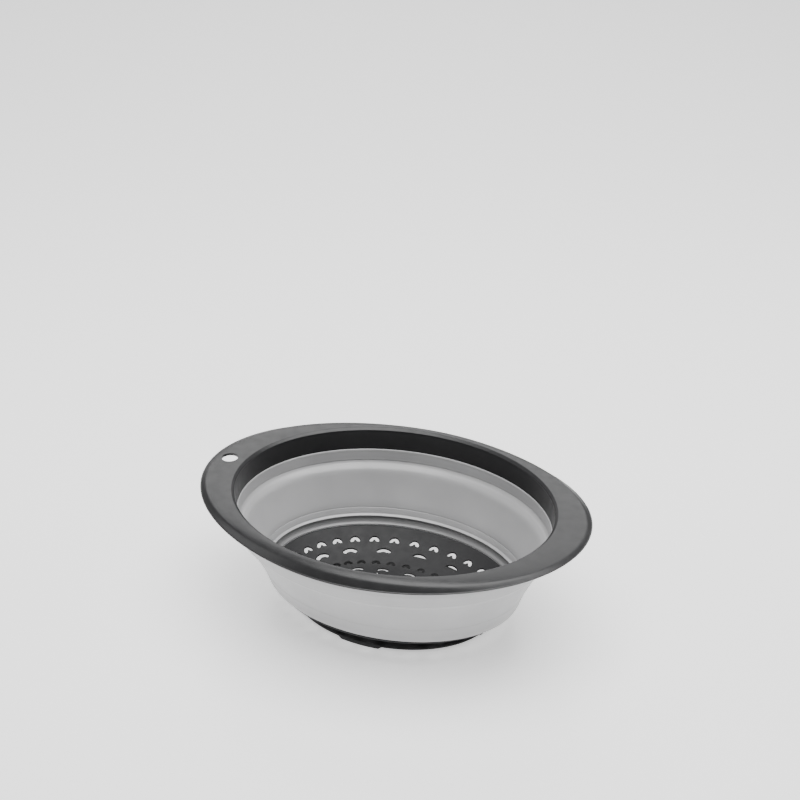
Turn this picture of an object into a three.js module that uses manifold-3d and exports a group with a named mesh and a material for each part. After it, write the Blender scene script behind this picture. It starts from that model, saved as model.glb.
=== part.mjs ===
// Folding oval colander: a rigid rim with two handle ends, a soft wall that rolls through itself,
// and a rigid dished strainer base on a foot ring. Shown standing open.
// Millimetres, +Z up, +X along the length with the hang hole at the -X end, origin under the centre.

import * as THREE from 'three';
import { mergeVertices } from 'three/addons/utils/BufferGeometryUtils.js';
import Module from 'manifold-3d';

const wasm = await Module();
wasm.setup();

// ---------------------------------------------------------------- driving dimensions

const MOUTH_HALF_LENGTH = 126;
const MOUTH_HALF_WIDTH = 100;
const HEIGHT = 98;
const GAP = 0.3;

const FLANGE_SIDE_WIDTH = 14;
const FLANGE_END_EXTRA = 15;
const FLANGE_END_SHARPNESS = 2.8;
const FLANGE_THICKNESS = 2.8;
const LIP_DROP_AT_SIDES = 5.4;
const LIP_DROP_AT_ENDS = 0.8;

const SKIRT_BOTTOM = 78.6;
const SKIRT_THICKNESS = 2.2;
const SKIRT_TAPER = 1.2;
const CUFF_TOP = 88;
const CUFF_THICKNESS = 1.5;

const HANG_HOLE_CENTRE = -141.5;
const HANG_HOLE_RADIUS = 6.3;

// The soft wall, as inset from the mouth and height: it rolls through between the two folds.
const UPPER_FOLD = { outer: 4.6, inner: 6.8, z: 66 };
const LOWER_FOLD = { outer: 20.3, inner: 22.6, z: 32.5 };
const WALL_BOTTOM = 17.5;
const FOLD_RINGS = 6;

// The dished strainer plate, as inset from the mouth and height of its top face.
const PLATE_EDGE_INSET = 27;
const DISH_POINTS = [[27, 22.3], [41, 14.4], [56.5, 7.8], [66, 5.4]];
const DISH_CENTRE_TOP = 4.5;
const PLATE_THICKNESS = 1.5;

// The foot is a wedge in section: upright inside, flaring out from under the plate to its lower edge.
const FOOT_INSET = 38;
const FOOT_PAD_THICKNESS = 2.4;
const FOOT_TOP_OUTSIDE = [51.5, 8.1];
const FOOT_TOP_INSIDE = [56.5, 5.5];
const FOOT_BOTTOM_INSIDE_INSET = 55.5;
const FOOT_END_TUCK = 0.925;
const FOOT_PAD_HEIGHT = 2;
const FOOT_PAD_SWEEP = 24;

const SLOT_GROUPS = 16;
const SHORT_SLOT_ROWS = [
  { inset: 37.3, length: 5.2, width: 2.8, arch: 1.9 },
  { inset: 58.6, length: 4.8, width: 2.1, arch: 1.4 },
];
const LONG_SLOT_ROWS = [
  { inset: 47.2, length: 9.4, width: 3, arch: 1.5 },
  { inset: 66.2, length: 8, width: 2.2, arch: 1.1 },
];

// Radial slots round the plain centre: half-length and half-width of the ovals their ends lie on.
const SPOKE_INNER = [18, 13.5];
const SPOKE_OUTER_LONG = [51, 30.5];
const SPOKE_OUTER_SHORT = [44, 27];
const SPOKE_WIDTH = 2.8;
const SPOKE_END_WIDTH = 0.6;

const SEGMENTS = 64;
const PLATE_SEGMENTS = 48;
const SLOT_ARC_STEPS = 2;
const CUTTER_HEIGHT = 60;

// ---------------------------------------------------------------- colours of the two materials

const RIGID_DARK = { color: 0x58585a, roughness: 0.48, metalness: 0 };
const SOFT_LIGHT = { color: 0xb9b9bb, roughness: 0.58, metalness: 0 };

// ---------------------------------------------------------------- oval geometry

const OVAL_STRETCH = MOUTH_HALF_LENGTH - MOUTH_HALF_WIDTH;
const PLATE_SCALE_INSET = DISH_POINTS.at(-1)[0];

// The x of a round point (radius r, direction cosine c) once the circle is drawn out to an oval.
function ovalX(r, c) {
  const scaleRadius = MOUTH_HALF_WIDTH - PLATE_SCALE_INSET;
  if (r < scaleRadius) return r * c * (scaleRadius + OVAL_STRETCH) / scaleRadius;
  return (r + OVAL_STRETCH) * c;
}

// Draws a round turned shape out to the colander's oval; outside the mouth the flange also
// widens toward the two ends and its outer part droops into the lip.
function drawOutToOval(geometry) {
  const position = geometry.attributes.position;
  for (let i = 0; i < position.count; i += 1) {
    const x = position.getX(i);
    const y = position.getY(i);
    const r = Math.hypot(x, y);
    if (r < 1e-6) continue;
    const c = x / r;
    const s = y / r;
    const outward = Math.max(0, r - MOUTH_HALF_WIDTH) / FLANGE_SIDE_WIDTH;
    const extra = outward * FLANGE_END_EXTRA * Math.abs(c) ** FLANGE_END_SHARPNESS;
    const drop = THREE.MathUtils.lerp(LIP_DROP_AT_SIDES, LIP_DROP_AT_ENDS, c * c);
    position.setXYZ(i, ovalX(r, c) + extra * c, y + extra * s, position.getZ(i) - drop * outward ** 3);
  }
  return geometry;
}

// A turned ring: the section is a closed outline of [inset from the mouth, height] points.
function ovalRing(section) {
  const outline = section.map(([inset, z]) => new THREE.Vector2(MOUTH_HALF_WIDTH - inset, z));
  outline.push(outline[0].clone());
  const area = THREE.ShapeUtils.area(outline);
  if (area < 0) outline.reverse();
  const lathe = new THREE.LatheGeometry(outline, SEGMENTS);
  lathe.rotateX(Math.PI / 2);
  return drawOutToOval(lathe);
}

// A turned disc that closes on the axis: top and bottom run from the axis outward.
function ovalDisc(top, bottom) {
  const toVector = ([inset, z]) => new THREE.Vector2(MOUTH_HALF_WIDTH - inset, z);
  const outline = [...bottom.map(toVector), ...top.map(toVector).reverse()];
  const lathe = new THREE.LatheGeometry(outline, PLATE_SEGMENTS);
  lathe.rotateX(Math.PI / 2);
  return drawOutToOval(lathe);
}

// ---------------------------------------------------------------- joining and cutting

function toSolid(geometry) {
  const bare = geometry.clone();
  bare.deleteAttribute('normal');
  bare.deleteAttribute('uv');
  const merged = mergeVertices(bare, 1e-4);
  const index = [];
  for (let i = 0; i < merged.index.count; i += 3) {
    const [a, b, c] = [0, 1, 2].map((k) => merged.index.getX(i + k));
    if (a !== b && b !== c && c !== a) index.push(a, b, c);
  }
  return new wasm.Manifold(new wasm.Mesh({
    numProp: 3,
    vertProperties: new Float32Array(merged.attributes.position.array),
    triVerts: new Uint32Array(index),
  }));
}

function toGeometry(solid) {
  const mesh = solid.getMesh();
  const geometry = new THREE.BufferGeometry();
  geometry.setAttribute('position', new THREE.BufferAttribute(new Float32Array(mesh.vertProperties), 3));
  geometry.setIndex(new THREE.BufferAttribute(new Uint32Array(mesh.triVerts), 1));
  return geometry;
}

// ---------------------------------------------------------------- rim

function flangeGeometry() {
  const steps = [0, 0.2, 0.45, 0.65, 0.82, 0.93, 1];
  const insets = steps.map((t) => -t * FLANGE_SIDE_WIDTH);
  const top = insets.map((inset) => [inset, HEIGHT]);
  const bottom = insets.map((inset) => [inset, HEIGHT - FLANGE_THICKNESS]);
  const flange = toSolid(ovalRing([...top, ...bottom.reverse()]));
  const hole = new THREE.CylinderGeometry(HANG_HOLE_RADIUS, HANG_HOLE_RADIUS, 4 * FLANGE_THICKNESS, 24);
  hole.rotateX(Math.PI / 2);
  hole.translate(HANG_HOLE_CENTRE, 0, HEIGHT - FLANGE_THICKNESS / 2);
  return toGeometry(flange.subtract(toSolid(hole)));
}

function skirtGeometry() {
  const top = HEIGHT - FLANGE_THICKNESS - GAP;
  return ovalRing([
    [0, top],
    [SKIRT_TAPER, SKIRT_BOTTOM],
    [SKIRT_TAPER - SKIRT_THICKNESS, SKIRT_BOTTOM],
    [-SKIRT_THICKNESS, top],
  ]);
}

// ---------------------------------------------------------------- soft wall

// The part of the wall that stays on the rim: a cuff round the skirt, then the band down to the fold.
function upperBandGeometry() {
  const cuffInside = -SKIRT_THICKNESS - GAP;
  const bandTop = SKIRT_BOTTOM - GAP;
  return ovalRing([
    [cuffInside, CUFF_TOP],
    [SKIRT_TAPER - SKIRT_THICKNESS - GAP, bandTop],
    [SKIRT_TAPER, bandTop],
    [UPPER_FOLD.inner, UPPER_FOLD.z],
    [UPPER_FOLD.inner, foldHeight(UPPER_FOLD.inner, 'outer')],
    [UPPER_FOLD.outer, UPPER_FOLD.z],
    [SKIRT_TAPER - SKIRT_THICKNESS - CUFF_THICKNESS, bandTop],
    [cuffInside - CUFF_THICKNESS, CUFF_TOP],
  ]);
}

// The height of the rolling band's outer and inner face at an inset.
function foldHeight(inset, face) {
  const t = (inset - UPPER_FOLD[face]) / (LOWER_FOLD[face] - UPPER_FOLD[face]);
  return THREE.MathUtils.lerp(UPPER_FOLD.z, LOWER_FOLD.z, t);
}

// One of the rings that the rolling band is divided into, between two upright cuts.
function foldRingGeometry(index) {
  const start = UPPER_FOLD.inner + GAP;
  const pitch = (LOWER_FOLD.outer - start) / FOLD_RINGS;
  const from = start + index * pitch;
  const to = from + pitch - GAP;
  return ovalRing([
    [from, foldHeight(from, 'outer')],
    [from, foldHeight(from, 'inner')],
    [to, foldHeight(to, 'inner')],
    [to, foldHeight(to, 'outer')],
  ]);
}

// The part of the wall that stays on the base: from the lower fold round under the plate's edge.
function lowerBandGeometry() {
  const edge = DISH_POINTS[0];
  return ovalRing([
    [LOWER_FOLD.outer, LOWER_FOLD.z],
    [22.3, 27],
    [24.2, 22],
    [26.2, WALL_BOTTOM + 0.6],
    [PLATE_EDGE_INSET + 1.4, WALL_BOTTOM],
    [PLATE_EDGE_INSET + 1.2, edge[1] - PLATE_THICKNESS - 1.4],
    [PLATE_EDGE_INSET - GAP, edge[1] - PLATE_THICKNESS - GAP],
    [PLATE_EDGE_INSET - GAP, edge[1] + 0.6],
    [25.4, 27],
    [LOWER_FOLD.inner + 0.6, LOWER_FOLD.z - 0.8],
    [LOWER_FOLD.inner, LOWER_FOLD.z],
    [LOWER_FOLD.outer, foldHeight(LOWER_FOLD.outer, 'inner')],
  ]);
}

// ---------------------------------------------------------------- strainer plate

function rowPoint(inset, degrees) {
  const angle = THREE.MathUtils.degToRad(degrees);
  return [(MOUTH_HALF_LENGTH - inset) * Math.cos(angle), (MOUTH_HALF_WIDTH - inset) * Math.sin(angle)];
}

// An upright cutter for one arched slot with square ends, which bows outward from the centre.
function archedSlotCutter({ inset, length, width, arch }, degrees) {
  const [x, y] = rowPoint(inset, degrees);
  const [xAhead, yAhead] = rowPoint(inset, degrees + 1);
  const tangent = Math.atan2(yAhead - y, xAhead - x);
  const radius = (length * length / 4 + arch * arch) / (2 * arch);
  const half = Math.asin(length / 2 / radius);
  const shape = new THREE.Shape();
  const innerRadius = radius - width / 2;
  const outerRadius = radius + width / 2;
  shape.absarc(0, 0, outerRadius, Math.PI / 2 - half, Math.PI / 2 + half, false);
  shape.absarc(0, 0, innerRadius, Math.PI / 2 + half, Math.PI / 2 - half, true);
  const cutter = new THREE.ExtrudeGeometry(shape, {
    depth: CUTTER_HEIGHT,
    bevelEnabled: false,
    curveSegments: SLOT_ARC_STEPS,
  });
  cutter.translate(0, -radius, 0);
  cutter.rotateZ(tangent + Math.PI);
  cutter.translate(x, y, -CUTTER_HEIGHT / 2);
  return cutter;
}

// The distance from the centre to an oval's edge in one direction.
function ovalReach([halfLength, halfWidth], angle) {
  return 1 / Math.hypot(Math.cos(angle) / halfLength, Math.sin(angle) / halfWidth);
}

// An upright cutter for one pointed radial slot, widest at its middle.
function spokeCutter(degrees, outer) {
  const angle = THREE.MathUtils.degToRad(degrees);
  const from = ovalReach(SPOKE_INNER, angle);
  const to = ovalReach(outer, angle);
  const middle = (from + to) / 2;
  const half = SPOKE_WIDTH / 2;
  const end = SPOKE_END_WIDTH / 2;
  const shape = new THREE.Shape([
    new THREE.Vector2(from, -end), new THREE.Vector2(middle, -half), new THREE.Vector2(to, -end),
    new THREE.Vector2(to, end), new THREE.Vector2(middle, half), new THREE.Vector2(from, end),
  ]);
  const cutter = new THREE.ExtrudeGeometry(shape, { depth: CUTTER_HEIGHT, bevelEnabled: false });
  cutter.rotateZ(angle);
  cutter.translate(0, 0, -CUTTER_HEIGHT / 2);
  return cutter;
}

function slotCutters() {
  const cutters = [];
  const pitch = 360 / SLOT_GROUPS;
  for (let group = 0; group < SLOT_GROUPS; group += 1) {
    const centre = group * pitch;
    for (const row of SHORT_SLOT_ROWS) {
      cutters.push(archedSlotCutter(row, centre - pitch / 4), archedSlotCutter(row, centre + pitch / 4));
    }
    for (const row of LONG_SLOT_ROWS) cutters.push(archedSlotCutter(row, centre));
    cutters.push(spokeCutter(centre, group % 2 ? SPOKE_OUTER_SHORT : SPOKE_OUTER_LONG));
  }
  return cutters;
}

function plateGeometry() {
  const top = [[MOUTH_HALF_WIDTH, DISH_CENTRE_TOP], ...[...DISH_POINTS].reverse()];
  const bottom = top.map(([inset, z]) => [inset, z - PLATE_THICKNESS]);
  const dish = toSolid(ovalDisc(top, bottom));
  const cutters = slotCutters().map(toSolid);
  return toGeometry(cutters.reduce((solid, cutter) => solid.subtract(cutter), dish));
}

// ---------------------------------------------------------------- foot ring

// Draws the foot's lower edge in toward the middle of its length; its top keeps to the oval.
function tuckFootEnds(geometry) {
  const position = geometry.attributes.position;
  for (let i = 0; i < position.count; i += 1) {
    const rise = (position.getZ(i) - FOOT_PAD_HEIGHT) / (FOOT_TOP_OUTSIDE[1] - FOOT_PAD_HEIGHT);
    const tuck = THREE.MathUtils.lerp(FOOT_END_TUCK, 1, THREE.MathUtils.clamp(rise, 0, 1));
    position.setX(i, position.getX(i) * tuck);
  }
  return geometry;
}

// A stretch of ring: the whole ring cut down to the wedge about one direction.
function footPad(degrees) {
  const ring = toSolid(tuckFootEnds(ovalRing([
    [FOOT_INSET, 0],
    [FOOT_INSET, FOOT_PAD_HEIGHT + 0.5],
    [FOOT_INSET + FOOT_PAD_THICKNESS, FOOT_PAD_HEIGHT + 0.5],
    [FOOT_INSET + FOOT_PAD_THICKNESS, 0],
  ])));
  const wedge = new THREE.Shape([new THREE.Vector2(0, 0)]);
  for (const side of [-0.5, 0.5]) {
    const [x, y] = rowPoint(FOOT_INSET - 20, degrees + side * FOOT_PAD_SWEEP);
    wedge.lineTo(x, y);
  }
  const cutter = new THREE.ExtrudeGeometry(wedge, { depth: CUTTER_HEIGHT, bevelEnabled: false });
  cutter.translate(0, 0, -CUTTER_HEIGHT / 2);
  return ring.intersect(toSolid(cutter));
}

function footRingGeometry() {
  const ring = toSolid(tuckFootEnds(ovalRing([
    [FOOT_INSET, FOOT_PAD_HEIGHT],
    [FOOT_INSET, FOOT_PAD_HEIGHT + 1.2],
    FOOT_TOP_OUTSIDE,
    FOOT_TOP_INSIDE,
    [FOOT_BOTTOM_INSIDE_INSET, FOOT_PAD_HEIGHT],
  ])));
  const whole = [0, 90, 180, 270].reduce((solid, degrees) => solid.add(footPad(degrees)), ring);
  return toGeometry(whole);
}

// ---------------------------------------------------------------- the colander

const colander = new THREE.Group();

function addPiece(name, geometry, look) {
  const piece = new THREE.Mesh(geometry, new THREE.MeshStandardMaterial(look));
  piece.name = name;
  colander.add(piece);
}

addPiece('rim_flange', flangeGeometry(), RIGID_DARK);
addPiece('rim_skirt', skirtGeometry(), RIGID_DARK);
addPiece('wall_upper_band', upperBandGeometry(), SOFT_LIGHT);
for (let index = 0; index < FOLD_RINGS; index += 1) {
  addPiece(`wall_fold_ring_${index + 1}`, foldRingGeometry(index), SOFT_LIGHT);
}
addPiece('wall_lower_band', lowerBandGeometry(), SOFT_LIGHT);
addPiece('strainer_plate', plateGeometry(), RIGID_DARK);
addPiece('foot_ring', footRingGeometry(), RIGID_DARK);

export default colander;
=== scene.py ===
"""A folding oval colander, standing open on a white studio floor.

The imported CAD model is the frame. Four detailed pieces stand for its nodes: the rim, the soft wall,
the strainer plate and the foot ring. Named sizes and tables are in millimetres and degrees, the
studio and the meshes in metres. "Inset" is the distance inward from the mouth's oval, "outward" the
distance outside it.
"""

import math

import bmesh
import bpy
import numpy as np
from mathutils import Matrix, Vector
from mathutils.bvhtree import BVHTree
from mathutils.interpolate import poly_3d_calc


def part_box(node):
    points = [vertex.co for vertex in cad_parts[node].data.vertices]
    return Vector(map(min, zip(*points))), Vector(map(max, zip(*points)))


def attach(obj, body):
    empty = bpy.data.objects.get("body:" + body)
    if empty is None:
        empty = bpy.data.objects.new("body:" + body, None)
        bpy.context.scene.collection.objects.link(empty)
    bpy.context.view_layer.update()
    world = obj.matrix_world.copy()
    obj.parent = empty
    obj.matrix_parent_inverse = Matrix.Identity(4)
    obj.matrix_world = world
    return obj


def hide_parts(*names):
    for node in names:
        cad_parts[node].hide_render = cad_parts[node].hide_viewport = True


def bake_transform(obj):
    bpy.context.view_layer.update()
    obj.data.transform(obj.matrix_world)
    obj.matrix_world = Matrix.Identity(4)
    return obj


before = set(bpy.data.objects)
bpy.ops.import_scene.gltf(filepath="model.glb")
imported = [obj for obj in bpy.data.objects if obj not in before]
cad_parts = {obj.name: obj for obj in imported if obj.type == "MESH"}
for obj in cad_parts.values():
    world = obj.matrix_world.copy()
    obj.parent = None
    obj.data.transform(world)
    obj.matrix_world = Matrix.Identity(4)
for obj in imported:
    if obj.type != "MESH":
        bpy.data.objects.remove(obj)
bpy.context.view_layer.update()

# ---------------------------------------------------------------- driving dimensions (mm)

MM = 0.001
MOUTH_HALF_LENGTH = 126
MOUTH_HALF_WIDTH = 100
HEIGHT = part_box("rim_flange")[1].z / MM

# The flange's top is flat from FLAT_FROM to FLAT_TO outward, and that part widens toward the ends.
FLAT_FROM = 3.2
FLAT_TO = 9.2
FLANGE_END_EXTRA = 15
FLANGE_END_SHARPNESS = 2.8
FLANGE_THICKNESS = 2.2
DROP_SHARE_AT_ENDS = 0.2

HOLE_CENTRE = -141.5
HOLE_RADIUS = 6.3
HOLE_POINTS = 96

# Painted shade: the wall's inner face is painted darker below the top height given here, where shade falls
# on the steep band above the plate, and fades to its own tone over the fade span above it.
PAINTED_SHADE_TOP = 27.9
PAINTED_SHADE_FADE = 0.7
PAINTED_SHADE_DARKNESS = 0.5

# Ovals further inward than PLATE_SCALE_INSET shrink evenly, down to a point.
PLATE_SCALE_INSET = 66
PLATE_THICKNESS = 1.5
PLATE_UNDERSIDE_INSET = 32
CENTRE_HEIGHT = 4.5
LIP_END_TUCK = 0.975

FOOT_TOP = 8.1
FOOT_END_TUCK = 0.925
FOOT_PAD_HEIGHT = 2
FOOT_PAD_SWEEP = 24
FOOT_PAD_EDGE = 2.5

# Mesh fineness: points round the oval, and curve steps between the points of a section.
TURNS = 256
SECTION_STEPS = 3
WALL_STEPS = 4
DISH_STEPS = 8
MERGE_DISTANCE = 0.001

# A face left by a cut still lies on the uncut surface if it is this near to it and the cosine of the
# angle between them is at least this.
NEAR_SURFACE = 0.02
ALIKE_FACING = 0.97
SHARP_ANGLE = 35

# The rim's closed section as (outward, drop that shrinks toward the ends, fixed drop from the top).
RIM_SECTION = [
    (0, 0, 3.2), (0, 0, 2.1), (0.04, 0, 1.75), (0.25, 0, 1.5), (1.15, 0, 0.82), (1.9, 0, 0.28),
    (2.15, 0, 0.1), (2.5, 0, 0.02), (FLAT_FROM, 0, 0), (5, 0.12, 0), (6.8, 0.55, 0), (8, 1, 0),
    (FLAT_TO, 1.75, 0), (10.2, 2.7, 0), (11.2, 4.05, 0), (12.1, 5.45, 0), (12.8, 6.6, 0),
    (13.15, 7.05, 0), (13.5, 7.2, 0), (13.85, 7.3, 0), (14, 7.6, 0), (13.95, 7.95, 0), (13.7, 8.2, 0),
    (13.3, 8.2, 0), (12.6, 7.3, 0.2), (11.8, 5.9, 0.8), (10.8, 4.4, 1.4), (9.4, 2.3, 1.9),
    (8, 1, 2.1), (5.5, 0.2, 2.2), (3.6, 0, 2.4), (2.7, 0, 2.8), (2.25, 0, 3.8), (1.8, 0, 10),
    (1, 0, 18.6), (0.8, 0, 19.2), (0.3, 0, 19.4), (-0.6, 0, 19.4), (-1.05, 0, 19.2), (-1.2, 0, 18.6),
    (-0.7, 0, 11), (-0.2, 0, 5),
]

# The soft wall from the cuff's top to under the plate: inset and height of its outer face, thickness.
WALL_SECTION = [
    (-4, 88, 1.4), (-3.7, 84, 1.4), (-3.1, 79.8, 1.4), (-2.95, 78.9, 1.6), (-2.75, 78.2, 4.5),
    (-1.9, 75.4, 4), (-0.9, 72, 3.2), (-0.25, 70.2, 2.6), (-0.1, 69.4, 2.3), (0.5, 68.6, 1.9),
    (1.7, 67.2, 1.6), (2.9, 66, 1.7), (4.5, 64.5, 2.3), (6.2, 61.8, 2.9), (9.5, 55, 2.4), (13.4, 47, 2),
    (16.9, 39.8, 1.9), (18.5, 36.1, 1.72), (18.76, 35.5, 1.62), (18.8, 34.9, 1.72), (19.7, 32.6, 1.75),
    (20.35, 31, 1.65), (20.65, 30.1, 1.65), (20.9, 29.4, 2.2), (21.15, 28.6, 2.9), (21.4, 27.9, 2.6),
    (21.6, 27.1, 1.75), (22.1, 25.3, 1.5), (22.6, 24, 1.45), (23, 23, 1.7), (23.9, 21.2, 2.5),
    (24.7, 20.6, 2), (26.2, 20.3, 1),
]

# Inset and height of the strainer plate's top face.
DISH = [(27, 22.3), (35.5, 17.3), (46, 12), (56.5, 7.8), (64, 5.8), (78, 4.8), (100, CENTRE_HEIGHT)]

# The lip that the plate's edge turns down into: inset and height from that edge.
PLATE_LIP = [
    (-0.1, -0.3), (-0.1, -2.1), (-0.4, -2.6), (-0.9, -3), (-1.1, -3.7), (-0.9, -4.6), (-0.2, -5.1),
    (1.4, -4.9),
]

# The foot's closed section: inset, height above its lower edge, and the share of a pad's drop there.
FOOT_SECTION = [
    (38.4, 0, 1), (38.08, 0.12, 1), (38, 0.5, 1), (38, 0.9, 0.6), (38.3, 1.35, 0), (39.2, 1.8, 0),
    (44.5, 3.1, 0), (50, 5.2, 0), (51, 5.8, 0), (51.5, 6, 0), (53.9, 4.95, 0), (56.2, 3.7, 0),
    (56.5, 3.5, 0), (56.45, 3.2, 0), (55.7, 0.4, 0), (55.5, 0.12, 0), (55, 0, 0), (46, 0, 0),
    (41.2, 0, 0), (40.7, 0, 0.1), (40.5, 0, 0.9), (40.4, 0, 1), (40, 0, 1),
]

# Each group of slots has two in a short row, one in a long row, and one radial slot.
SLOT_GROUPS = 16
SHORT_ROWS = [
    {"inset": 37.3, "length": 5, "width": 2.8, "arch": 1.9},
    {"inset": 58.6, "length": 4.8, "width": 2.1, "arch": 1.4},
]
LONG_ROWS = [
    {"inset": 47.2, "length": 8.6, "width": 3, "arch": 1.5},
    {"inset": 66.2, "length": 7.4, "width": 2.2, "arch": 1.1},
]

# An arched slot's ends are blunt: they reach out by this share of its half width.
ARCH_END_REACH = 0.8
ARCH_END_BLUNTNESS = 0.6
ARCH_END_POINTS = 7
ARCH_POINTS = 13

# Half length and half width of the ovals that the radial slots start at and end at.
SPOKE_INNER = (18, 13.5)
SPOKE_OUTER_LONG = (51, 30.5)
SPOKE_OUTER_SHORT = (44, 27)
SPOKE_WIDTH = 2.8
SPOKE_END_WIDTH = 0.7
SPOKE_SHARPNESS = 1.2
SPOKE_POINTS = 17

# A cutter's rings: height above the face it enters by, and how far the outline is widened there.
ROUNDED_EDGE = [(1.2, 0.42), (0.03, 0.3), (-0.1, 0.12), (-0.32, 0)]


# ---------------------------------------------------------------- camera, floor and light

def make_camera():
    """The camera stands where the reference view was taken from."""
    azimuth, elevation, distance = math.radians(24.69), math.radians(31.84), 1.3
    back = Vector((
        math.sin(azimuth) * math.cos(elevation),
        -math.cos(azimuth) * math.cos(elevation),
        math.sin(elevation),
    ))
    data = bpy.data.cameras.new("camera")
    data.sensor_width = 36
    data.lens = 77
    data.shift_x = 0.009
    data.shift_y = 0.1207
    camera = bpy.data.objects.new("camera", data)
    camera.location = Vector((0, 0, HEIGHT * MM)) + back * distance
    camera.rotation_mode = "QUATERNION"
    camera.rotation_quaternion = (-back).to_track_quat("-Z", "Y")
    bpy.context.scene.collection.objects.link(camera)
    bpy.context.scene.camera = camera


def make_softbox(name, location, size, power):
    """A rectangular area light, size wide and high, that faces the object's middle."""
    data = bpy.data.lights.new(name, "AREA")
    data.shape = "RECTANGLE"
    data.size, data.size_y = size
    data.energy = power
    light = bpy.data.objects.new(name, data)
    light.location = location
    toward = Vector((0, 0, 0.05)) - light.location
    light.rotation_mode = "QUATERNION"
    light.rotation_quaternion = toward.to_track_quat("-Z", "Y")
    bpy.context.scene.collection.objects.link(light)


def make_studio():
    """A pale world, a white floor and soft lights."""
    world = bpy.data.worlds.new("studio")
    world.use_nodes = True
    world.node_tree.nodes["Background"].inputs["Color"].default_value = (1, 1, 1, 1)
    world.node_tree.nodes["Background"].inputs["Strength"].default_value = 0.3
    bpy.context.scene.world = world
    make_softbox("overhead softbox", (0.1, 0, 1.5), (1.5, 1.4), 37)
    make_softbox("back softbox", (-0.8, 1.7, 1.15), (2, 1.1), 16)
    make_softbox("left softbox", (-1.6, -0.7, 0.7), (1.2, 1.2), 7)
    make_softbox("right softbox", (1.6, 0.7, 0.7), (1.2, 1.2), 7)

    reach = 6
    corners = [(-reach, -reach, 0), (reach, -reach, 0), (reach, reach, 0), (-reach, reach, 0)]
    mesh = bpy.data.meshes.new("floor")
    mesh.from_pydata(corners, [], [(0, 1, 2, 3)])
    floor = bpy.data.objects.new("floor", mesh)
    mesh.materials.append(floor_material())
    bpy.context.scene.collection.objects.link(floor)


# ---------------------------------------------------------------- materials

def new_material(name):
    """An empty principled material, with its shader and its node tree."""
    material = bpy.data.materials.new(name)
    material.use_nodes = True
    return material, material.node_tree.nodes["Principled BSDF"], material.node_tree


def noise(tree, scale, detail):
    """A noise value on the object's own coordinates, with features of about 1 / scale metres."""
    coordinates = tree.nodes.new("ShaderNodeTexCoord")
    texture = tree.nodes.new("ShaderNodeTexNoise")
    texture.inputs["Scale"].default_value = scale
    texture.inputs["Detail"].default_value = detail
    tree.links.new(coordinates.outputs["Object"], texture.inputs["Vector"])
    return texture.outputs["Fac"]


def mapped(tree, value, low, high):
    """The value's middle range spread over low to high."""
    node = tree.nodes.new("ShaderNodeMapRange")
    node.inputs["From Min"].default_value = 0.3
    node.inputs["From Max"].default_value = 0.7
    node.inputs["To Min"].default_value = low
    node.inputs["To Max"].default_value = high
    tree.links.new(value, node.inputs["Value"])
    return node.outputs["Result"]


def mixed_colour(tree, factor, dark, light):
    """A grey between dark and light."""
    node = tree.nodes.new("ShaderNodeMix")
    node.data_type = "RGBA"
    node.inputs["A"].default_value = (*dark, 1)
    node.inputs["B"].default_value = (*light, 1)
    tree.links.new(factor, node.inputs["Factor"])
    return node.outputs["Result"]


def bumped(tree, height, strength, distance_mm, below=None):
    """A bump normal from a height, laid over another bump where one is given."""
    node = tree.nodes.new("ShaderNodeBump")
    node.inputs["Strength"].default_value = strength
    node.inputs["Distance"].default_value = distance_mm * MM
    tree.links.new(height, node.inputs["Height"])
    if below is not None:
        tree.links.new(below, node.inputs["Normal"])
    return node.outputs["Normal"]


def moulded_material(name, dark, light, roughness, grain_scale, grain_strength):
    """Moulded polymer: a faint drift of tone and gloss, a soft waviness and a fine grain."""
    material, shader, tree = new_material(name)
    drift = mapped(tree, noise(tree, 22, 3), 0, 1)
    tree.links.new(mixed_colour(tree, drift, dark, light), shader.inputs["Base Color"])
    gloss = mapped(tree, noise(tree, 140, 5), *roughness)
    tree.links.new(gloss, shader.inputs["Roughness"])
    waviness = bumped(tree, noise(tree, 45, 1), 0.25, 0.3)
    grain = bumped(tree, noise(tree, grain_scale, 4), grain_strength, 0.06, waviness)
    tree.links.new(grain, shader.inputs["Normal"])
    return material, shader


def rim_material():
    """Satin dark grey plastic."""
    dark, light = (0.014, 0.014, 0.015), (0.019, 0.019, 0.02)
    material, _ = moulded_material("satin_plastic", dark, light, (0.3, 0.4), 1900, 0.3)
    return material


def base_material():
    """The same plastic with a slightly duller mould finish."""
    dark, light = (0.018, 0.018, 0.019), (0.023, 0.023, 0.024)
    material, shader = moulded_material("matt_plastic", dark, light, (0.5, 0.62), 1500, 0.5)
    shader.inputs["Specular IOR Level"].default_value = 0.3
    return material


def silicone_material(name):
    """Soft pale grey silicone with a dusty sheen."""
    dark, light = (0.4, 0.4, 0.405), (0.46, 0.46, 0.465)
    material, shader = moulded_material(name, dark, light, (0.3, 0.4), 1300, 0.3)
    shader.inputs["Specular IOR Level"].default_value = 0.85
    shader.inputs["Sheen Weight"].default_value = 0.12
    shader.inputs["Sheen Roughness"].default_value = 0.5
    return material


def painted_shade_material():
    """The same silicone with painted shade: its colour is mixed toward black by the wall's per-point shade
    value, on the band above the plate.
    """
    material = silicone_material("silicone_with_painted_shade")
    tree = material.node_tree
    colour = tree.nodes["Principled BSDF"].inputs["Base Color"]
    shade = tree.nodes.new("ShaderNodeAttribute")
    shade.attribute_name = "painted_shade"
    darken = tree.nodes.new("ShaderNodeMix")
    darken.data_type = "RGBA"
    tree.links.new(colour.links[0].from_socket, darken.inputs["A"])
    darken.inputs["B"].default_value = (0, 0, 0, 1)
    tree.links.new(shade.outputs["Fac"], darken.inputs["Factor"])
    tree.links.new(darken.outputs["Result"], colour)
    return material


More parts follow.
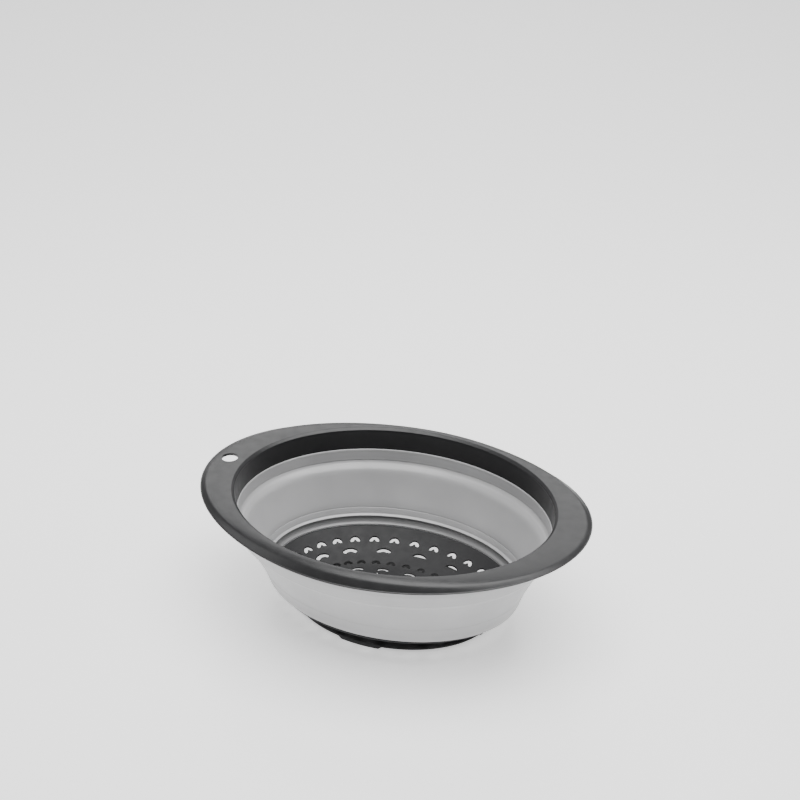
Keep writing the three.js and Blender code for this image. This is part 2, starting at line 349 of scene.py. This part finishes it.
def floor_material():
    """A white studio floor with a faint soft reflection."""
    material, shader, _ = new_material("white_floor")
    shader.inputs["Base Color"].default_value = (0.93, 0.93, 0.93, 1)
    shader.inputs["Roughness"].default_value = 0.3
    shader.inputs["Emission Color"].default_value = (1, 1, 1, 1)
    shader.inputs["Emission Strength"].default_value = 0.7
    return material


# ---------------------------------------------------------------- sections and sweeps

def smooth_line(points, steps, closed):
    """The points of a Catmull-Rom curve through the given points, with steps to each span."""
    points = np.array(points, float)
    if closed:
        padded = np.vstack([points[-1], points, points[:2]])
    else:
        padded = np.vstack([2 * points[0] - points[1], points, 2 * points[-1] - points[-2]])
    line = []
    for before, start, end, after in zip(padded, padded[1:], padded[2:], padded[3:]):
        for t in np.arange(steps) / steps:
            line.append(0.5 * (
                2 * start
                + (end - before) * t
                + (2 * before - 5 * start + 4 * end - after) * t ** 2
                + (3 * start - before - 3 * end + after) * t ** 3
            ))
    if not closed:
        line.append(points[-1])
    return np.array(line)


def directions(turns):
    """Cosines and sines of equal turns round the oval, as two rows for broadcasting."""
    angles = np.arange(turns) * 2 * math.pi / turns
    return np.cos(angles)[None, :], np.sin(angles)[None, :]


def half_lengths(half_widths):
    """Half lengths of the ovals inside the mouth that have those half widths."""
    stretch = MOUTH_HALF_LENGTH - MOUTH_HALF_WIDTH
    scaled = MOUTH_HALF_WIDTH - PLATE_SCALE_INSET
    return np.where(half_widths < scaled, half_widths * (scaled + stretch) / scaled, half_widths + stretch)


def oval_grid(insets, heights, turns=TURNS):
    """Positions (section point, turn, xyz) of a section inside the mouth, drawn out to the oval."""
    cosine, sine = directions(turns)
    radius = MOUTH_HALF_WIDTH - np.asarray(insets, float)[:, None]
    z = np.broadcast_to(np.asarray(heights, float).reshape(len(radius), -1), (len(radius), turns))
    return np.stack([half_lengths(radius) * cosine, radius * sine, z], axis=2)


def rim_grid(section):
    """Positions of the rim's section: its flat top widens toward the ends and its lip droops less."""
    cosine, sine = directions(TURNS)
    outward, drop, fixed_drop = (column[:, None] for column in section.T)
    flat_share = np.clip((outward - FLAT_FROM) / (FLAT_TO - FLAT_FROM), 0, 1)
    extra = flat_share * FLANGE_END_EXTRA * np.abs(cosine) ** FLANGE_END_SHARPNESS
    drop_share = 1 + (DROP_SHARE_AT_ENDS - 1) * cosine ** 2
    x = (MOUTH_HALF_LENGTH + outward + extra) * cosine
    y = (MOUTH_HALF_WIDTH + outward + extra) * sine
    return np.stack([x, y, HEIGHT - drop * drop_share - fixed_drop], axis=2)


def mesh_from_grid(name, grid, closed_section):
    """A mesh of quads over a grid of positions in millimetres, closed round its turns."""
    rows, turns = grid.shape[:2]
    faces = []
    for row in range(rows if closed_section else rows - 1):
        this_row, next_row = row * turns, (row + 1) % rows * turns
        for turn in range(turns):
            ahead = (turn + 1) % turns
            faces.append((this_row + turn, this_row + ahead, next_row + ahead, next_row + turn))
    mesh = bpy.data.meshes.new(name)
    mesh.from_pydata((grid.reshape(-1, 3) * MM).tolist(), [], faces)
    return mesh


def add_object(name, mesh):
    """A new object for the mesh, smooth shaded."""
    mesh.shade_smooth()
    piece = bpy.data.objects.new(name, mesh)
    bpy.context.scene.collection.objects.link(piece)
    return piece


def tidy_mesh(mesh):
    """Merges coincident points and turns every face outward."""
    work = bmesh.new()
    work.from_mesh(mesh)
    bmesh.ops.remove_doubles(work, verts=work.verts, dist=MERGE_DISTANCE * MM)
    bmesh.ops.recalc_face_normals(work, faces=work.faces)
    work.to_mesh(mesh)
    work.free()


# ---------------------------------------------------------------- cutting

def ring_stack_faces(count, rings):
    """Faces of a closed solid of stacked rings, each with count points, capped at both ends."""
    faces = [tuple(range(count)), tuple(range((rings - 1) * count, rings * count))]
    for ring in range(rings - 1):
        this_ring, next_ring = ring * count, (ring + 1) * count
        for i in range(count):
            j = (i + 1) % count
            faces.append((this_ring + i, this_ring + j, next_ring + j, next_ring + i))
    return faces


def add_cutter(work, outline, top_height, thickness):
    """Adds one upright cutter whose rings follow the face it enters by and round the cut's edges.

    The outline is an anticlockwise loop of x, y points, and top_height gives the face's height there.
    """
    outline = np.array(outline)
    tangent = np.roll(outline, -1, axis=0) - np.roll(outline, 1, axis=0)
    tangent /= np.linalg.norm(tangent, axis=1)[:, None]
    outside = np.stack([tangent[:, 1], -tangent[:, 0]], axis=1)
    heights = top_height(outline)
    levels = ROUNDED_EDGE + [(-thickness - height, wider) for height, wider in reversed(ROUNDED_EDGE)]
    points = [
        work.verts.new((x * MM, y * MM, z * MM))
        for height, wider in levels
        for (x, y), z in zip(outline + outside * wider, heights + height)
    ]
    for face in ring_stack_faces(len(outline), len(levels)):
        work.faces.new([points[i] for i in face])


def cut(piece, cutters):
    """Subtracts the cutters and keeps the piece's own smooth normals on what is left of its surface."""
    bmesh.ops.recalc_face_normals(cutters, faces=cutters.faces)
    mesh = bpy.data.meshes.new("cutters")
    cutters.to_mesh(mesh)
    cutters.free()
    cutter = bpy.data.objects.new("cutters", mesh)
    bpy.context.scene.collection.objects.link(cutter)
    uncut = piece.data
    boolean = piece.modifiers.new("cut", "BOOLEAN")
    boolean.object = cutter
    boolean.solver = "EXACT"
    evaluated = piece.evaluated_get(bpy.context.evaluated_depsgraph_get())
    piece.data = bpy.data.meshes.new_from_object(evaluated)
    piece.modifiers.clear()
    bpy.data.objects.remove(cutter)
    tidy_mesh(piece.data)
    copy_surface_normals(piece.data, uncut)


def copy_surface_normals(mesh, uncut):
    """Gives faces on the uncut surface its normals, and the cuts their own, split at sharp edges."""
    mesh.shade_smooth()
    mesh.set_sharp_from_angle(angle=math.radians(SHARP_ANGLE))
    tree = BVHTree.FromPolygons([v.co for v in uncut.vertices], [p.vertices for p in uncut.polygons])
    normals = [Vector((0, 0, 0))] * len(mesh.loops)
    for polygon in mesh.polygons:
        _, face_normal, _, distance = tree.find_nearest(polygon.center)
        if distance > NEAR_SURFACE * MM or face_normal.dot(polygon.normal) < ALIKE_FACING:
            continue
        for loop in polygon.loop_indices:
            spot = mesh.vertices[mesh.loops[loop].vertex_index].co
            nearest, _, index, _ = tree.find_nearest(spot)
            corners = [uncut.vertices[i] for i in uncut.polygons[index].vertices]
            weights = poly_3d_calc([corner.co for corner in corners], nearest)
            blended = sum((corner.normal * w for corner, w in zip(corners, weights)), Vector())
            normals[loop] = blended.normalized()
    mesh.normals_split_custom_set(normals)


# ---------------------------------------------------------------- rim

def make_rim():
    """The rigid rim: chamfered inner edge, flat top, rolled lip, two handle ends, hang hole and skirt."""
    section = smooth_line(RIM_SECTION, SECTION_STEPS, closed=True)
    mesh = mesh_from_grid("rim", rim_grid(section), closed_section=True)
    tidy_mesh(mesh)
    rim = add_object("rim", mesh)
    cosine, sine = directions(HOLE_POINTS)
    outline = np.stack([HOLE_CENTRE + HOLE_RADIUS * cosine[0], HOLE_RADIUS * sine[0]], axis=1)
    cutters = bmesh.new()
    add_cutter(cutters, outline, flange_top_height, FLANGE_THICKNESS)
    cut(rim, cutters)
    rim.data.materials.append(rim_material())
    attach(rim, "rim")
    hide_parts("rim_flange", "rim_skirt")


def flange_top_height(points):
    """Height of the handle's top face at x, y points on the length axis."""
    top = np.array(RIM_SECTION[RIM_SECTION.index((FLAT_FROM, 0, 0)):][:5])
    outward_at_end = top[:, 0] + FLANGE_END_EXTRA * (top[:, 0] - FLAT_FROM) / (FLAT_TO - FLAT_FROM)
    reach = np.abs(points[:, 0]) - MOUTH_HALF_LENGTH
    return HEIGHT - DROP_SHARE_AT_ENDS * np.interp(reach, outward_at_end, top[:, 1])


# ---------------------------------------------------------------- soft wall

def make_wall():
    """The soft wall: one sheet, thickened inward, between rim and base."""
    section = smooth_line(WALL_SECTION, WALL_STEPS, closed=False)
    mesh = mesh_from_grid("wall", oval_grid(section[:, 0], section[:, 1]), closed_section=False)
    tidy_mesh(mesh)
    wall = add_object("wall", mesh)
    thickest = section[:, 2].max()
    thickness = wall.vertex_groups.new(name="thickness")
    for row, value in enumerate(section[:, 2]):
        thickness.add(list(range(row * TURNS, (row + 1) * TURNS)), value / thickest, "REPLACE")
    # Painted shade: a per-point value darkens the inner face of the band above the plate, where shade
    # falls in the open bowl.
    painted_shade = mesh.attributes.new("painted_shade", "FLOAT", "POINT")
    darkness = np.interp(PAINTED_SHADE_TOP - section[:, 1], (-PAINTED_SHADE_FADE, 0), (0, PAINTED_SHADE_DARKNESS))
    painted_shade.data.foreach_set("value", np.repeat(darkness, TURNS))
    solid = wall.modifiers.new("thickness", "SOLIDIFY")
    solid.thickness = thickest * MM
    solid.offset = -1
    solid.material_offset = 1
    solid.vertex_group = thickness.name
    wall.data.materials.append(silicone_material("soft_silicone"))
    # The inner face takes the silicone with painted shade.
    wall.data.materials.append(painted_shade_material())
    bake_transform(wall)
    rings = sorted(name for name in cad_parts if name.startswith("wall_fold_ring"))
    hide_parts("wall_upper_band", "wall_lower_band", *rings)


# ---------------------------------------------------------------- strainer plate

def dish_height(points):
    """Height of the plate's top face at x, y points, each from the smallest oval that holds it."""
    line = smooth_line(DISH, DISH_STEPS, closed=False)
    ovals, tiny = 800, 1e-9
    radii = np.linspace(0, MOUTH_HALF_WIDTH - DISH[0][0], ovals)[:, None]
    inside = (points[:, 0] / (half_lengths(radii) + tiny)) ** 2 + (points[:, 1] / (radii + tiny)) ** 2 < 1
    radius = radii[np.argmax(inside, axis=0), 0]
    return np.interp(MOUTH_HALF_WIDTH - radius, line[:, 0], line[:, 1])


def row_point(inset, angle):
    """The x, y point at that inset and direction."""
    half_length, half_width = MOUTH_HALF_LENGTH - inset, MOUTH_HALF_WIDTH - inset
    return np.array([half_length * math.cos(angle), half_width * math.sin(angle)])


def arched_outline(row, angle):
    """Outline of one arched slot, bowed outward, with blunt rounded ends."""
    radius = (row["length"] ** 2 / 4 + row["arch"] ** 2) / (2 * row["arch"])
    half_sweep = math.asin(row["length"] / 2 / radius)
    half_width = row["width"] / 2
    side = np.full(ARCH_POINTS, half_width)
    sweep = np.linspace(-half_sweep, half_sweep, ARCH_POINTS)
    turn = np.linspace(-math.pi / 2, math.pi / 2, ARCH_END_POINTS + 2)[1:-1]
    along = ARCH_END_REACH * half_width * np.abs(np.cos(turn)) ** ARCH_END_BLUNTNESS
    across = half_width * np.sign(np.sin(turn)) * np.abs(np.sin(turn)) ** ARCH_END_BLUNTNESS
    bends = np.concatenate([sweep, half_sweep + along / radius, sweep[::-1], -half_sweep - along / radius])
    radii = radius + np.concatenate([-side, across, side, -across])
    local = np.stack([radii * np.sin(bends), radii * np.cos(bends) - radius], axis=1)
    here = row_point(row["inset"], angle)
    ahead = row_point(row["inset"], angle + 0.01)
    tangent = (ahead - here) / np.linalg.norm(ahead - here)
    outside = np.array([tangent[1], -tangent[0]])
    return here + local[:, :1] * -tangent + local[:, 1:] * outside


def spoke_outline(angle, outer):
    """Outline of one pointed radial slot, widest at its middle."""
    reach = [1 / math.hypot(math.cos(angle) / a, math.sin(angle) / b) for a, b in (SPOKE_INNER, outer)]
    t = np.linspace(0, 1, SPOKE_POINTS)
    swell = np.sin(math.pi * t) ** SPOKE_SHARPNESS
    half_width = SPOKE_END_WIDTH / 2 + (SPOKE_WIDTH - SPOKE_END_WIDTH) / 2 * swell
    along = reach[0] + (reach[1] - reach[0]) * t
    local = np.concatenate([
        np.stack([along, -half_width], axis=1),
        [[reach[1] + SPOKE_END_WIDTH / 2, 0]],
        np.stack([along, half_width], axis=1)[::-1],
        [[reach[0] - SPOKE_END_WIDTH / 2, 0]],
    ])
    turn = np.array([[math.cos(angle), math.sin(angle)], [-math.sin(angle), math.cos(angle)]])
    return local @ turn


def slot_outlines():
    """Outlines of every slot in the plate."""
    pitch = 2 * math.pi / SLOT_GROUPS
    outlines = []
    for group in range(SLOT_GROUPS):
        centre = group * pitch
        for row in SHORT_ROWS:
            outlines += [arched_outline(row, centre - pitch / 4), arched_outline(row, centre + pitch / 4)]
        outlines += [arched_outline(row, centre) for row in LONG_ROWS]
        outlines.append(spoke_outline(centre, SPOKE_OUTER_SHORT if group % 2 else SPOKE_OUTER_LONG))
    return outlines


def make_plate():
    """The dished strainer plate with its turned-down lip and its slots."""
    top = smooth_line(DISH, DISH_STEPS, closed=False)
    bottom = top - (0, PLATE_THICKNESS)
    lip = smooth_line(np.add(DISH[0], PLATE_LIP), SECTION_STEPS, closed=False)
    section = np.vstack([top[::-1], lip, bottom[bottom[:, 0] > PLATE_UNDERSIDE_INSET]])
    grid = oval_grid(section[:, 0], section[:, 1])
    tucked = slice(len(top) + SECTION_STEPS, len(top) + len(lip))
    grid[tucked, :, 0] *= LIP_END_TUCK
    mesh = mesh_from_grid("strainer_plate_top", grid, closed_section=False)
    tidy_mesh(mesh)
    plate = add_object("strainer_plate_shell", mesh)
    cutters = bmesh.new()
    for outline in slot_outlines():
        add_cutter(cutters, outline, dish_height, PLATE_THICKNESS)
    cut(plate, cutters)
    plate.data.materials.append(base_material())
    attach(plate, "base")
    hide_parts("strainer_plate")


# ---------------------------------------------------------------- foot ring

def make_foot_ring():
    """The foot, a wedge in section, with a low pad to stand on at each side and each end."""
    section = smooth_line(FOOT_SECTION, SECTION_STEPS, closed=True)
    turns = 2 * TURNS
    from_pad = np.abs((np.arange(turns) * 360 / turns + 45) % 90 - 45)
    edge = np.clip((FOOT_PAD_SWEEP / 2 + FOOT_PAD_EDGE / 2 - from_pad) / FOOT_PAD_EDGE, 0, 1)
    pad = edge * edge * (3 - 2 * edge)
    heights = FOOT_PAD_HEIGHT + section[:, 1:2] - FOOT_PAD_HEIGHT * section[:, 2:3] * pad[None, :]
    grid = oval_grid(section[:, 0], heights, turns)
    rise = np.clip((grid[:, :, 2] - FOOT_PAD_HEIGHT) / (FOOT_TOP - FOOT_PAD_HEIGHT), 0, 1)
    grid[:, :, 0] *= FOOT_END_TUCK + (1 - FOOT_END_TUCK) * rise
    mesh = mesh_from_grid("foot_ring_shell", grid, closed_section=True)
    tidy_mesh(mesh)
    ring = add_object("foot_ring_shell", mesh)
    ring.data.materials.append(base_material())
    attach(ring, "base")
    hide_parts("foot_ring")


# ---------------------------------------------------------------- the scene

make_camera()
make_studio()
make_rim()
make_wall()
make_plate()
make_foot_ring()
